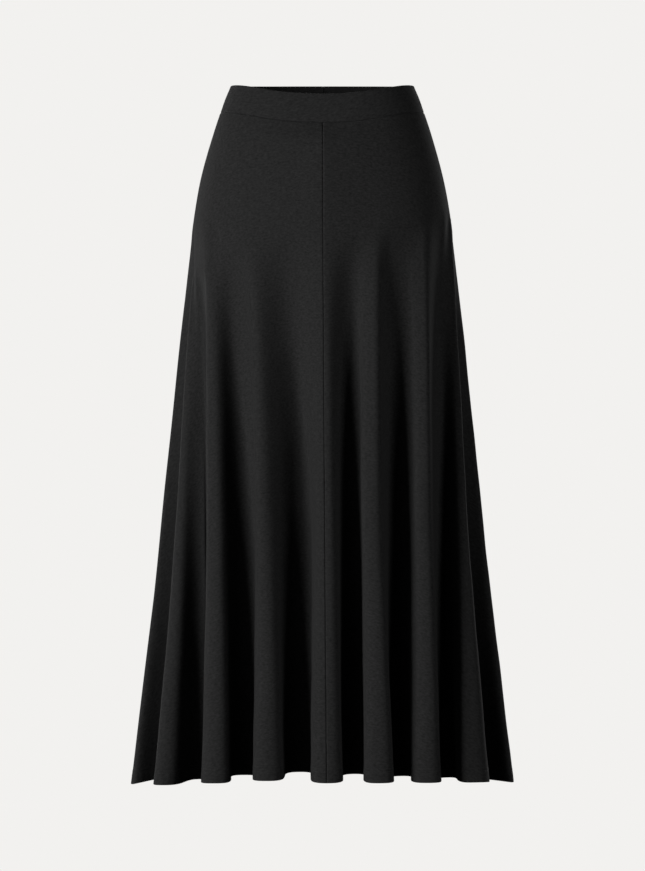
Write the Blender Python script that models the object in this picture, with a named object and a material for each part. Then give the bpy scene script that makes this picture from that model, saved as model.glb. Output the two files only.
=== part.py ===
"""A flared maxi skirt in plain black jersey, filled out as it is when worn, with no wearer.

A folded waistband carries three flared panels: two front halves that meet in a centre-front
seam, and one back. The cloth is smooth over the hips. Below them it falls in seventeen soft
pipes that deepen and open out down to the hem.

Units are metres. +Z is up and the wearer faces -Y, so the wearer's left is +X. The origin is
the centre of the waist opening, level with the band's top edge at the sides.

Every fold has two lines that run from the hips to the hem: a crest, and the hollow after it.
A level section of the cloth is a chain of Bezier curves through all of those lines. Angles go
round the waist from straight ahead (-Y) towards +X.
"""

import bpy
import numpy as np

# ---------------------------------------------------------------- driving sizes

BAND_DEPTH = 0.0366        # top edge to band seam, straight down at the sides
HIP_DEPTH = 0.182          # top edge to the fullest part of the hips
HEM_DEPTH = 0.947          # top edge to the hem at the sides
PANEL_THICKNESS = 0.0015   # one layer of jersey
BAND_THICKNESS = 0.0026    # two layers of jersey and the elastic between them
SEAM_GAP = 0.0003          # clear space between two sewn panels
BAND_SEAM_GAP = 0.0004     # straight down between band and panels, across the slant of the cloth

MIDDLE_INSET = 0.028       # the middle line of the folds lies this far inside their outline
SMOOTH_HANDLE = 2 / 3      # curve handle over half the chord, where the cloth has no folds
GROWTH = 0.65              # folds deepen as this power of the way from their start to the hem
FADE_IN = 0.03             # share of that way over which a fold fades in
TURNING = 0.25             # power of the growth at which a fold turns to its own facing
ROUNDING = 1.5             # power of the growth at which crests and hollows broaden
HOLLOW_LEAN = 4.0         # degrees that hollows face further round half way down
CREST_LEAN = -20.0         # and crests, the other way, so that the folds lean over
FRONT_SQUARENESS = 2.5     # 2 is an oval front; more is flatter across the middle

FRONT_DIP_TOP = 0.0146     # the top edge dips this much at the centre front
FRONT_DIP_SEAM = 0.0169    # and the band seam this much
DIP_SHARPNESS = 3.5        # how closely the dip keeps to the centre front
BACK_RISE = 0.0058         # the top edge and the seam rise this much at the centre back

KEEL_HEIGHT = 0.0095       # the centre-front seam stands out from the hips by this much
KEEL_WIDTH = 0.070         # and fades over this distance to each side
KEEL_START_DEPTH = 0.060   # depth where it is at its full height
KEEL_END_DEPTH = 0.42      # depth where the folds have taken over from it

STEPS_BETWEEN_LINES = 5    # wall columns between a crest and the next hollow

# The outline over the folds, from the top edge to the hem.
#  depth, half width, half depth in front, half depth behind
OUTLINE = (
    (0.0000, 0.1245, 0.0885, 0.0970),
    (0.0366, 0.1385, 0.0945, 0.1060),
    (0.0730, 0.1503, 0.1025, 0.1180),
    (0.1275, 0.1653, 0.1105, 0.1300),
    (0.1820, 0.1748, 0.1165, 0.1360),
    (0.2360, 0.1816, 0.1225, 0.1405),
    (0.3450, 0.1939, 0.1345, 0.1490),
    (0.5080, 0.2112, 0.1520, 0.1630),
    (0.6720, 0.2291, 0.1700, 0.1780),
    (0.8080, 0.2455, 0.1850, 0.1900),
    (0.9470, 0.2622, 0.2000, 0.2030),
)

# Depths of the rows of wall points, from the band seam to the hem.
ROW_DEPTHS = (BAND_DEPTH, 0.075, 0.125, HIP_DEPTH, 0.25, 0.33, 0.42, 0.53, 0.64, 0.75, 0.85, HEM_DEPTH)

# The crest line of each fold, going round from the centre front.
#  name, angle on the hips, sway half way down, pinch half way down, x at the hem, y at the
#  hem, way it faces at the hem, handle at the hem, depth where it starts, rise of its hem
#  above HEM_DEPTH. Sway moves the line round the skirt, and pinch sharpens its curve.
CRESTS = (
    ("front centre", 0.1, 0.000, 0.00, 0.0060, -0.2000, 0, 1.15, 0.200, 0.0105),
    ("front left 1", 18.8, -0.005, 0.04, 0.0738, -0.1950, 0, 1.15, 0.190, 0.0102),
    ("front left 2", 45.8, 0.000, 0.08, 0.1372, -0.1780, 357, 1.10, 0.190, 0.0096),
    ("front left 3", 79.6, 0.005, 0.10, 0.1990, -0.1440, 12, 1.10, 0.175, 0.0082),
    ("side left", 96.0, 0.004, 0.20, 0.2590, -0.0300, 78, 0.85, 0.180, 0.0020),
    ("back left 4", 115.0, -0.006, 0.15, 0.2470, 0.0600, 104, 0.95, 0.200, 0.0030),
    ("back left 3", 134.0, -0.010, 0.25, 0.2035, 0.1280, 128, 1.00, 0.220, 0.0060),
    ("back left 2", 152.0, -0.004, 0.05, 0.1270, 0.1780, 158, 1.05, 0.200, 0.0080),
    ("back left 1", 170.0, -0.009, 0.20, 0.0370, 0.2010, 178, 1.00, 0.230, 0.0095),
    ("back right 1", 189.0, -0.003, 0.10, -0.0470, 0.1990, 186, 1.10, 0.210, 0.0100),
    ("back right 2", 208.0, -0.011, 0.25, -0.1370, 0.1730, 200, 1.00, 0.220, 0.0085),
    ("back right 3", 227.0, -0.006, 0.10, -0.2050, 0.1260, 228, 1.05, 0.200, 0.0060),
    ("back right 4", 245.0, -0.004, 0.20, -0.2500, 0.0520, 252, 0.95, 0.210, 0.0030),
    ("side right", 264.0, -0.003, 0.10, -0.2585, -0.0400, 283, 0.80, 0.180, 0.0000),
    ("front right 3", 279.0, -0.010, 0.10, -0.2110, -0.1240, 5, 0.92, 0.260, 0.0035),
    ("front right 2", 304.0, -0.002, 0.08, -0.1400, -0.1780, 8, 1.00, 0.185, 0.0091),
    ("front right 1", 333.4, -0.001, 0.20, -0.0715, -0.1950, 8, 1.05, 0.185, 0.0132),
)

# The hollow that follows each crest, in the same order and with the same columns.
HOLLOWS = (
    ("front centre", 8.9, 0.004, 0.00, 0.0430, -0.1300, 14, 1.00, 0.190, 0.0188),
    ("front left 1", 27.6, 0.010, 0.00, 0.1060, -0.1150, 22, 1.00, 0.180, 0.0152),
    ("front left 2", 67.7, 0.008, 0.00, 0.1690, -0.0980, 26, 0.90, 0.175, 0.0123),
    ("front left 3", 86.8, 0.000, 0.00, 0.2090, -0.0130, 32, 0.80, 0.190, 0.0053),
    ("side left", 105.0, 0.004, 0.00, 0.2060, 0.0240, 96, 0.80, 0.200, 0.0080),
    ("back left 4", 124.5, 0.010, 0.00, 0.1830, 0.0690, 118, 0.95, 0.210, 0.0110),
    ("back left 3", 143.0, 0.006, 0.00, 0.1310, 0.1130, 142, 1.00, 0.210, 0.0140),
    ("back left 2", 161.0, 0.014, 0.00, 0.0640, 0.1390, 166, 1.00, 0.220, 0.0170),
    ("back left 1", 179.5, 0.005, 0.00, -0.0050, 0.1460, 181, 1.00, 0.240, 0.0180),
    ("back right 1", 198.5, 0.013, 0.00, -0.0750, 0.1360, 196, 1.00, 0.210, 0.0180),
    ("back right 2", 217.5, 0.007, 0.00, -0.1370, 0.1090, 216, 0.95, 0.220, 0.0160),
    ("back right 3", 236.0, 0.011, 0.00, -0.1850, 0.0640, 242, 0.95, 0.210, 0.0110),
    ("back right 4", 254.5, 0.004, 0.00, -0.2050, 0.0140, 264, 0.80, 0.200, 0.0080),
    ("side right", 273.2, 0.000, 0.00, -0.2080, -0.0230, 320, 0.70, 0.190, 0.0072),
    ("front right 3", 288.5, -0.006, 0.00, -0.1640, -0.0720, 12, 0.75, 0.260, 0.0085),
    ("front right 2", 314.5, 0.006, 0.00, -0.1060, -0.1080, 10, 0.95, 0.225, 0.0162),
    ("front right 1", 345.3, 0.011, 0.00, -0.0300, -0.1280, 10, 1.00, 0.190, 0.0214),
)

# The seams run down these lines.
CENTRE_FRONT_SEAM = ("crest", "front centre")
LEFT_SIDE_SEAM = ("hollow", "side left")
RIGHT_SIDE_SEAM = ("hollow", "back right 4")

BLACK_JERSEY = (0.021, 0.021, 0.0212)


# ---------------------------------------------------------------- the lines of the cloth

def lines_in_order():
    """Crests and hollows taken in turn, as the keys and the columns of one array."""
    keys = []
    columns = []
    for crest, hollow in zip(CRESTS, HOLLOWS):
        keys += [("crest", crest[0]), ("hollow", hollow[0])]
        columns += [crest[1:], hollow[1:]]
    return keys, np.array(columns)


LINE_KEYS, LINE_TABLE = lines_in_order()
(HIP_ANGLE, SWAY, PINCH, HEM_X, HEM_Y, HEM_FACING, HEM_HANDLE, START_DEPTH,
 HEM_RISE) = LINE_TABLE.T
LEAN = np.where([kind == "crest" for kind, _ in LINE_KEYS], CREST_LEAN, HOLLOW_LEAN)
COLUMN_COUNT = STEPS_BETWEEN_LINES * len(LINE_KEYS)


def outline(depth):
    """Half width, and half depth in front and behind, over the folds at a depth."""
    table = np.array(OUTLINE)
    slopes = np.gradient(table[:, 1:], table[:, 0], axis=0)
    row = int(np.clip(np.searchsorted(table[:, 0], depth) - 1, 0, len(table) - 2))
    span = table[row + 1, 0] - table[row, 0]
    t = (depth - table[row, 0]) / span
    start, end = table[row, 1:], table[row + 1, 1:]
    return (start * (1 + 2 * t) * (1 - t) ** 2 + end * t * t * (3 - 2 * t)
            + span * (slopes[row] * t * (1 - t) ** 2 - slopes[row + 1] * t * t * (1 - t)))


def on_oval(angle, half_width, half_front, half_back):
    """The point of an oval at a parameter angle, and the way the oval faces there."""
    across, ahead = np.sin(angle), np.cos(angle)
    half_depth = np.where(ahead >= 0, half_front, half_back)
    squareness = np.where(ahead >= 0, FRONT_SQUARENESS, 2)
    across = np.sign(across) * np.abs(across) ** (2 / squareness)
    ahead = np.sign(ahead) * np.abs(ahead) ** (2 / squareness)
    facing = np.arctan2(np.sign(across) * np.abs(across) ** (squareness - 1) / half_width,
                        np.sign(ahead) * np.abs(ahead) ** (squareness - 1) / half_depth)
    return np.stack([half_width * across, -half_depth * ahead], axis=-1), facing


def growth(depth, start):
    """How far a fold has grown at a depth: 0 at its start, 1 at the hem."""
    share = np.clip((depth - start) / (HEM_DEPTH - start), 0, None)
    return share ** GROWTH * share / (share + FADE_IN) * (1 + FADE_IN)


def line_points(depth):
    """Where each line is at a depth, the way it faces, and its handle over half the chord."""
    hips = np.radians(HIP_ANGLE)
    if depth <= HIP_DEPTH:
        points, facing = on_oval(hips, *outline(depth))
        return points, facing, np.full(len(hips), SMOOTH_HANDLE)
    hip_oval = outline(HIP_DEPTH)
    hem_oval = outline(HEM_DEPTH) - MIDDLE_INSET
    middle_inset = MIDDLE_INSET * growth(depth, HIP_DEPTH)
    here = outline(depth) - middle_inset
    way_down = (depth - HIP_DEPTH) / (HEM_DEPTH - HIP_DEPTH)
    straight = hip_oval + (hem_oval - hip_oval) * way_down
    half_depths = np.where(HEM_Y <= 0, hem_oval[1], hem_oval[2])
    hem_angle = np.arctan2(HEM_X / hem_oval[0], -HEM_Y / half_depths)
    hip_points, hip_facing = on_oval(hips, *hip_oval)
    plain_hem, _ = on_oval(hem_angle, *hem_oval)
    swell = np.where(plain_hem[:, 1] <= 0, here[1] / straight[1], here[2] / straight[2])
    middle = hip_points + (plain_hem - hip_points) * way_down
    middle = middle * np.stack([np.full(len(hips), here[0] / straight[0]), swell], axis=-1)
    half_way = np.stack([np.cos(hip_facing), np.sin(hip_facing)], axis=-1) * SWAY[:, None]
    middle = middle + half_way * np.sin(np.pi * way_down) ** 2
    grown = growth(depth, START_DEPTH)
    points = middle + (np.stack([HEM_X, HEM_Y], axis=-1) - plain_hem) * grown[:, None]
    turn = (np.radians(HEM_FACING) - hip_facing + np.pi) % (2 * np.pi) - np.pi
    half_grown = 4 * grown * (1 - grown)
    facing = hip_facing + turn * grown ** TURNING + np.radians(LEAN) * half_grown
    handle = SMOOTH_HANDLE + (HEM_HANDLE - SMOOTH_HANDLE) * grown ** ROUNDING
    return points, facing, handle - PINCH * half_grown


def keel(across, depth):
    """How far the centre-front seam pushes the cloth out, at a distance from the seam."""
    rise = np.clip((depth - BAND_DEPTH) / (KEEL_START_DEPTH - BAND_DEPTH), 0, 1)
    fade = np.clip((KEEL_END_DEPTH - depth) / (KEEL_END_DEPTH - KEEL_START_DEPTH), 0, 1)
    return KEEL_HEIGHT * rise * fade * np.exp(-np.abs(across) / KEEL_WIDTH)


def section(depth, steps=STEPS_BETWEEN_LINES):
    """The closed outline of the cloth at a depth, as points going round from the front."""
    points, facing, handle = line_points(depth)
    along = np.stack([np.cos(facing), np.sin(facing)], axis=-1)
    after = np.roll(points, -1, axis=0)
    half_chord = np.linalg.norm(after - points, axis=1)[:, None] / 2
    leave = points + along * half_chord * handle[:, None]
    arrive = after - np.roll(along * handle[:, None], -1, axis=0) * half_chord
    t = (np.arange(steps) / steps)[None, :, None]
    curve = (points[:, None] * (1 - t) ** 3 + 3 * leave[:, None] * t * (1 - t) ** 2
             + 3 * arrive[:, None] * t * t * (1 - t) + after[:, None] * t ** 3)
    curve = curve.reshape(-1, 2)
    front = curve[:, 1] < 0
    curve[front, 1] -= keel(curve[front, 0] - points[0, 0], depth)
    return curve


def round_the_waist(values, steps=STEPS_BETWEEN_LINES):
    """Spread a value of each line smoothly over the columns between the lines."""
    t = (np.arange(steps) / steps)[None, :]
    blend = t * t * (3 - 2 * t)
    return (values[:, None] * (1 - blend) + np.roll(values, -1)[:, None] * blend).reshape(-1)


def edge_heights(front_dip, steps=STEPS_BETWEEN_LINES):
    """Height of the top edge or band seam above its height at the sides, for each column."""
    angles = np.radians(np.append(HIP_ANGLE, HIP_ANGLE[0] + 360))
    places = np.arange(len(angles)) * steps
    ahead = np.cos(np.interp(np.arange(steps * len(HIP_ANGLE)), places, angles))
    dip = front_dip * np.clip(ahead, 0, 1) ** DIP_SHARPNESS
    return BACK_RISE * np.clip(-ahead, 0, 1) - dip


def cloth_row(depth, steps=STEPS_BETWEEN_LINES):
    """One row of points round the cloth at a depth, in space."""
    plan = section(depth, steps)
    if depth <= BAND_DEPTH:
        share = depth / BAND_DEPTH
        top = edge_heights(FRONT_DIP_TOP, steps)
        seam = edge_heights(FRONT_DIP_SEAM, steps)
        height = -depth + top * (1 - share) + seam * share
    else:
        share = (depth - BAND_DEPTH) / (HEM_DEPTH - BAND_DEPTH)
        seam = edge_heights(FRONT_DIP_SEAM, steps)
        hem = round_the_waist(HEM_RISE, steps)
        height = -depth + seam * (1 - share) + hem * share
    return np.column_stack([plan, height])


# ---------------------------------------------------------------- walls

def inner_face(outer, thickness):
    """The inside of the cloth: a ring of points, moved in by the thickness along its normals."""
    around = np.roll(outer, -1, axis=1) - np.roll(outer, 1, axis=1)
    normals = np.cross(np.gradient(outer, axis=0), around)
    return outer - normals / np.linalg.norm(normals, axis=2)[:, :, None] * thickness


def wall(name, outer, inner, closed=False):
    """A closed cloth wall between two grids, whose rows go down and whose columns go round."""
    rows, columns = outer.shape[:2]
    layer = rows * columns
    faces = []

    def quad(a, b, c, d):
        faces.extend([(a, b, c), (a, c, d)])

    spans = columns if closed else columns - 1
    for column in range(spans):
        following = (column + 1) % columns
        for row in range(rows - 1):
            a, b = row * columns + column, (row + 1) * columns + column
            c, d = (row + 1) * columns + following, row * columns + following
            quad(a, b, c, d)
            faces.extend([(layer + a, layer + c, layer + b), (layer + a, layer + d, layer + c)])
        last = (rows - 1) * columns
        quad(layer + column, column, following, layer + following)
        quad(last + column, layer + last + column, layer + last + following, last + following)
    if not closed:
        for row in range(rows - 1):
            a, b = row * columns, (row + 1) * columns
            quad(a, layer + a, layer + b, b)
            a, b = a + columns - 1, b + columns - 1
            quad(a, b, layer + b, layer + a)
    mesh = bpy.data.meshes.new(name)
    mesh.from_pydata(np.concatenate([outer, inner]).reshape(-1, 3).tolist(), [], faces)
    mesh.shade_smooth()
    mesh.set_sharp_from_angle(angle=np.radians(60))
    piece = bpy.data.objects.new(name, mesh)
    bpy.context.scene.collection.objects.link(piece)
    return piece


def column_of(line_key):
    """The wall column that runs down a line."""
    return LINE_KEYS.index(line_key) * STEPS_BETWEEN_LINES


def pulled_in(outer, inner):
    """A panel's two faces with their end columns drawn back from the seams by half a gap."""
    outer, inner = outer.copy(), inner.copy()
    for edge, beside in ((0, 1), (-1, -2)):
        back = outer[:, beside] - outer[:, edge]
        back *= SEAM_GAP / 2 / np.linalg.norm(back, axis=1)[:, None]
        outer[:, edge] += back
        inner[:, edge] += back
    return outer, inner


def panel(name, first_seam, last_seam):
    """One panel of the skirt, between two seams, going round from the first to the last."""
    first, last = column_of(first_seam), column_of(last_seam)
    if last <= first:
        last += COLUMN_COUNT
    columns = np.arange(first, last + 1) % COLUMN_COUNT
    outer = np.stack([cloth_row(depth) for depth in ROW_DEPTHS])
    outer[0, :, 2] -= BAND_SEAM_GAP / 2
    inner = inner_face(outer, PANEL_THICKNESS)
    return wall(name, *pulled_in(outer[:, columns], inner[:, columns]))


def waistband():
    """The folded band: a closed ring from the top edge to the seam."""
    outer = np.stack([cloth_row(depth) for depth in (0.0, BAND_DEPTH)])
    outer[-1, :, 2] += BAND_SEAM_GAP / 2
    return wall("waistband", outer, inner_face(outer, BAND_THICKNESS), closed=True)


# ---------------------------------------------------------------- materials

def jersey(name, colour, roughness):
    """A matt knitted cloth."""
    material = bpy.data.materials.new(name)
    material.use_nodes = True
    shader = material.node_tree.nodes["Principled BSDF"]
    shader.inputs["Base Color"].default_value = (*colour, 1.0)
    shader.inputs["Roughness"].default_value = roughness
    shader.inputs["Metallic"].default_value = 0.0
    return material


def clear_scene():
    """Start with no objects."""
    for old in list(bpy.data.objects):
        bpy.data.objects.remove(old)


def main():
    """Build the waistband and the three panels."""
    clear_scene()
    band = waistband()
    right = panel("front_panel_right", RIGHT_SIDE_SEAM, CENTRE_FRONT_SEAM)
    left = panel("front_panel_left", CENTRE_FRONT_SEAM, LEFT_SIDE_SEAM)
    back = panel("back_panel", LEFT_SIDE_SEAM, RIGHT_SIDE_SEAM)
    band.data.materials.append(jersey("waistband_jersey", BLACK_JERSEY, 0.88))
    for piece in (right, left, back):
        piece.data.materials.append(jersey(piece.name + "_jersey", BLACK_JERSEY, 0.90))


main()
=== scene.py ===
# %% [markdown]
# # A flared maxi skirt in black jersey
#
# The skirt is filled out as it is on a wearer: smooth over the hips, then falling in soft
# pipes to a turned-up hem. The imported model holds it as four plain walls. This lesson puts
# the real cloth in their place: thin curved shells whose edges roll into the seams, a band
# folded over elastic, a double hem with its stitches, and a knit that takes the light.
#
# The frame comes first. Everything made below stands in its metres, with +Z up and the
# wearer facing -Y.

# %% Load the frame
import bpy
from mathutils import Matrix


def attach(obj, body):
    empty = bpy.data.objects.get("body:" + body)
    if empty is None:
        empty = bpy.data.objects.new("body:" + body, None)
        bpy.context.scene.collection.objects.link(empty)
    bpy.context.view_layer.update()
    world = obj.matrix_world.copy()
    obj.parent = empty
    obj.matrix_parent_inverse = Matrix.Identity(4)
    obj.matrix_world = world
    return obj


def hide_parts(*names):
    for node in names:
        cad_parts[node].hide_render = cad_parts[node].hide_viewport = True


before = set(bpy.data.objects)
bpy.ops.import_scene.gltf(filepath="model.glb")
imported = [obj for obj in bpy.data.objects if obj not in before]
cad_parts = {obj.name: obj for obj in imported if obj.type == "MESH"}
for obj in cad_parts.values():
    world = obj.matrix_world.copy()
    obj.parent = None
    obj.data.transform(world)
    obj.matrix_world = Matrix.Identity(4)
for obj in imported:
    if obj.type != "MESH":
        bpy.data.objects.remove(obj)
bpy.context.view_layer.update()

# %% Python's own tools
import math

import bpy
import numpy as np
from mathutils import Vector

# %% [markdown]
# ## The form of the cloth
#
# A skirt this full could be draped by a cloth simulation, but its folds would then fall
# where they like. Here every fold has its own place, so the form is worked out instead. Each
# fold has two lines from the hips to the hem: a crest, and the hollow after it. A level
# section of the cloth is a chain of Bezier curves through all of them. These are the same
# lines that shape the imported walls, read here at many more depths and places.

# %% Sizes that shape the skirt
BAND_DEPTH = 0.0366        # top edge to band seam, straight down at the sides
HIP_DEPTH = 0.182          # top edge to the fullest part of the hips
HEM_DEPTH = 0.947          # top edge to the hem at the sides
MIDDLE_INSET = 0.028       # the middle line of the folds lies this far inside their outline
SMOOTH_HANDLE = 2 / 3      # curve handle over half the chord, where the cloth has no folds
GROWTH = 0.65              # folds deepen as this power of the way from their start to the hem
FADE_IN = 0.03             # share of that way over which a fold fades in
TURNING = 0.25             # power of the growth at which a fold turns to its own facing
ROUNDING = 1.5             # power of the growth at which crests and hollows broaden
HOLLOW_LEAN = 4.0          # degrees that hollows face further round half way down
CREST_LEAN = -20.0         # and crests, the other way, so that the folds lean over
FRONT_SQUARENESS = 2.5     # 2 is an oval front; more is flatter across the middle
FRONT_DIP_TOP = 0.0146     # the top edge dips this much at the centre front
FRONT_DIP_SEAM = 0.0169    # and the band seam this much
DIP_SHARPNESS = 3.5        # how closely the dip keeps to the centre front
BACK_RISE = 0.0058         # the top edge and the seam rise this much at the centre back
KEEL_HEIGHT = 0.0095       # the centre-front seam stands out from the hips by this much
KEEL_WIDTH = 0.070         # and fades over this distance to each side
KEEL_START_DEPTH = 0.060   # depth where it is at its full height
KEEL_END_DEPTH = 0.42      # depth where the folds have taken over from it

# %% The outline over the folds
#  depth, half width, half depth in front, half depth behind
OUTLINE = (
    (0.0000, 0.1245, 0.0885, 0.0970),
    (0.0366, 0.1385, 0.0945, 0.1060),
    (0.0730, 0.1503, 0.1025, 0.1180),
    (0.1275, 0.1653, 0.1105, 0.1300),
    (0.1820, 0.1748, 0.1165, 0.1360),
    (0.2360, 0.1816, 0.1225, 0.1405),
    (0.3450, 0.1939, 0.1345, 0.1490),
    (0.5080, 0.2112, 0.1520, 0.1630),
    (0.6720, 0.2291, 0.1700, 0.1780),
    (0.8080, 0.2455, 0.1850, 0.1900),
    (0.9470, 0.2622, 0.2000, 0.2030),
)

# %% The crest line of each fold, going round from the centre front
#  name, angle on the hips, sway half way down, pinch half way down, x at the hem, y at the
#  hem, way it faces at the hem, handle at the hem, depth where it starts, rise of its hem
#  above HEM_DEPTH. Angles go from straight ahead (-Y) towards +X. Sway moves the line round
#  the skirt, and pinch sharpens its curve.
CRESTS = (
    ("front centre", 0.1, 0.000, 0.00, 0.0060, -0.2000, 0, 1.15, 0.200, 0.0105),
    ("front left 1", 18.8, -0.005, 0.04, 0.0738, -0.1950, 0, 1.15, 0.190, 0.0102),
    ("front left 2", 45.8, 0.000, 0.08, 0.1372, -0.1780, 357, 1.10, 0.190, 0.0096),
    ("front left 3", 79.6, 0.005, 0.10, 0.1990, -0.1440, 12, 1.10, 0.175, 0.0082),
    ("side left", 96.0, 0.004, 0.20, 0.2590, -0.0300, 78, 0.85, 0.180, 0.0020),
    ("back left 4", 115.0, -0.006, 0.15, 0.2470, 0.0600, 104, 0.95, 0.200, 0.0030),
    ("back left 3", 134.0, -0.010, 0.25, 0.2035, 0.1280, 128, 1.00, 0.220, 0.0060),
    ("back left 2", 152.0, -0.004, 0.05, 0.1270, 0.1780, 158, 1.05, 0.200, 0.0080),
    ("back left 1", 170.0, -0.009, 0.20, 0.0370, 0.2010, 178, 1.00, 0.230, 0.0095),
    ("back right 1", 189.0, -0.003, 0.10, -0.0470, 0.1990, 186, 1.10, 0.210, 0.0100),
    ("back right 2", 208.0, -0.011, 0.25, -0.1370, 0.1730, 200, 1.00, 0.220, 0.0085),
    ("back right 3", 227.0, -0.006, 0.10, -0.2050, 0.1260, 228, 1.05, 0.200, 0.0060),
    ("back right 4", 245.0, -0.004, 0.20, -0.2500, 0.0520, 252, 0.95, 0.210, 0.0030),
    ("side right", 264.0, -0.003, 0.10, -0.2585, -0.0400, 283, 0.80, 0.180, 0.0000),
    ("front right 3", 279.0, -0.010, 0.10, -0.2110, -0.1240, 5, 0.92, 0.260, 0.0035),
    ("front right 2", 304.0, -0.002, 0.08, -0.1400, -0.1780, 8, 1.00, 0.185, 0.0091),
    ("front right 1", 333.4, -0.001, 0.20, -0.0715, -0.1950, 8, 1.05, 0.185, 0.0132),
)

# %% The hollow that follows each crest, with the same columns
HOLLOWS = (
    ("front centre", 8.9, 0.004, 0.00, 0.0430, -0.1300, 14, 1.00, 0.190, 0.0188),
    ("front left 1", 27.6, 0.010, 0.00, 0.1060, -0.1150, 22, 1.00, 0.180, 0.0152),
    ("front left 2", 67.7, 0.008, 0.00, 0.1690, -0.0980, 26, 0.90, 0.175, 0.0123),
    ("front left 3", 86.8, 0.000, 0.00, 0.2090, -0.0130, 32, 0.80, 0.190, 0.0053),
    ("side left", 105.0, 0.004, 0.00, 0.2060, 0.0240, 96, 0.80, 0.200, 0.0080),
    ("back left 4", 124.5, 0.010, 0.00, 0.1830, 0.0690, 118, 0.95, 0.210, 0.0110),
    ("back left 3", 143.0, 0.006, 0.00, 0.1310, 0.1130, 142, 1.00, 0.210, 0.0140),
    ("back left 2", 161.0, 0.014, 0.00, 0.0640, 0.1390, 166, 1.00, 0.220, 0.0170),
    ("back left 1", 179.5, 0.005, 0.00, -0.0050, 0.1460, 181, 1.00, 0.240, 0.0180),
    ("back right 1", 198.5, 0.013, 0.00, -0.0750, 0.1360, 196, 1.00, 0.210, 0.0180),
    ("back right 2", 217.5, 0.007, 0.00, -0.1370, 0.1090, 216, 0.95, 0.220, 0.0160),
    ("back right 3", 236.0, 0.011, 0.00, -0.1850, 0.0640, 242, 0.95, 0.210, 0.0110),
    ("back right 4", 254.5, 0.004, 0.00, -0.2050, 0.0140, 264, 0.80, 0.200, 0.0080),
    ("side right", 273.2, 0.000, 0.00, -0.2080, -0.0230, 320, 0.70, 0.190, 0.0072),
    ("front right 3", 288.5, -0.006, 0.00, -0.1640, -0.0720, 12, 0.75, 0.260, 0.0085),
    ("front right 2", 314.5, 0.006, 0.00, -0.1060, -0.1080, 10, 0.95, 0.225, 0.0162),
    ("front right 1", 345.3, 0.011, 0.00, -0.0300, -0.1280, 10, 1.00, 0.190, 0.0214),
)

# %% Crests and hollows taken in turn
LINE_KEYS = []
LINE_COLUMNS = []
for crest, hollow in zip(CRESTS, HOLLOWS):
    LINE_KEYS += [("crest", crest[0]), ("hollow", hollow[0])]
    LINE_COLUMNS += [crest[1:], hollow[1:]]
(HIP_ANGLE, SWAY, PINCH, HEM_X, HEM_Y, HEM_FACING, HEM_HANDLE, START_DEPTH,
 HEM_RISE) = np.array(LINE_COLUMNS).T
LEAN = np.where([kind == "crest" for kind, _ in LINE_KEYS], CREST_LEAN, HOLLOW_LEAN)
print(len(LINE_KEYS), "lines shape the folds")


# %% The outline at any depth
def outline(depth):
    """Half width, and half depth in front and behind, over the folds at a depth."""
    table = np.array(OUTLINE)
    slopes = np.gradient(table[:, 1:], table[:, 0], axis=0)
    row = int(np.clip(np.searchsorted(table[:, 0], depth) - 1, 0, len(table) - 2))
    span = table[row + 1, 0] - table[row, 0]
    t = (depth - table[row, 0]) / span
    start, end = table[row, 1:], table[row + 1, 1:]
    return (start * (1 + 2 * t) * (1 - t) ** 2 + end * t * t * (3 - 2 * t)
            + span * (slopes[row] * t * (1 - t) ** 2 - slopes[row + 1] * t * t * (1 - t)))


def on_oval(angle, half_width, half_front, half_back):
    """The point of an oval at a parameter angle, and the way the oval faces there."""
    across, ahead = np.sin(angle), np.cos(angle)
    half_depth = np.where(ahead >= 0, half_front, half_back)
    squareness = np.where(ahead >= 0, FRONT_SQUARENESS, 2)
    across = np.sign(across) * np.abs(across) ** (2 / squareness)
    ahead = np.sign(ahead) * np.abs(ahead) ** (2 / squareness)
    facing = np.arctan2(np.sign(across) * np.abs(across) ** (squareness - 1) / half_width,
                        np.sign(ahead) * np.abs(ahead) ** (squareness - 1) / half_depth)
    return np.stack([half_width * across, -half_depth * ahead], axis=-1), facing


# %% Where the lines run
def growth(depth, start):
    """How far a fold has grown at a depth: 0 at its start, 1 at the hem."""
    share = np.clip((depth - start) / (HEM_DEPTH - start), 0, None)
    return share ** GROWTH * share / (share + FADE_IN) * (1 + FADE_IN)


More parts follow.
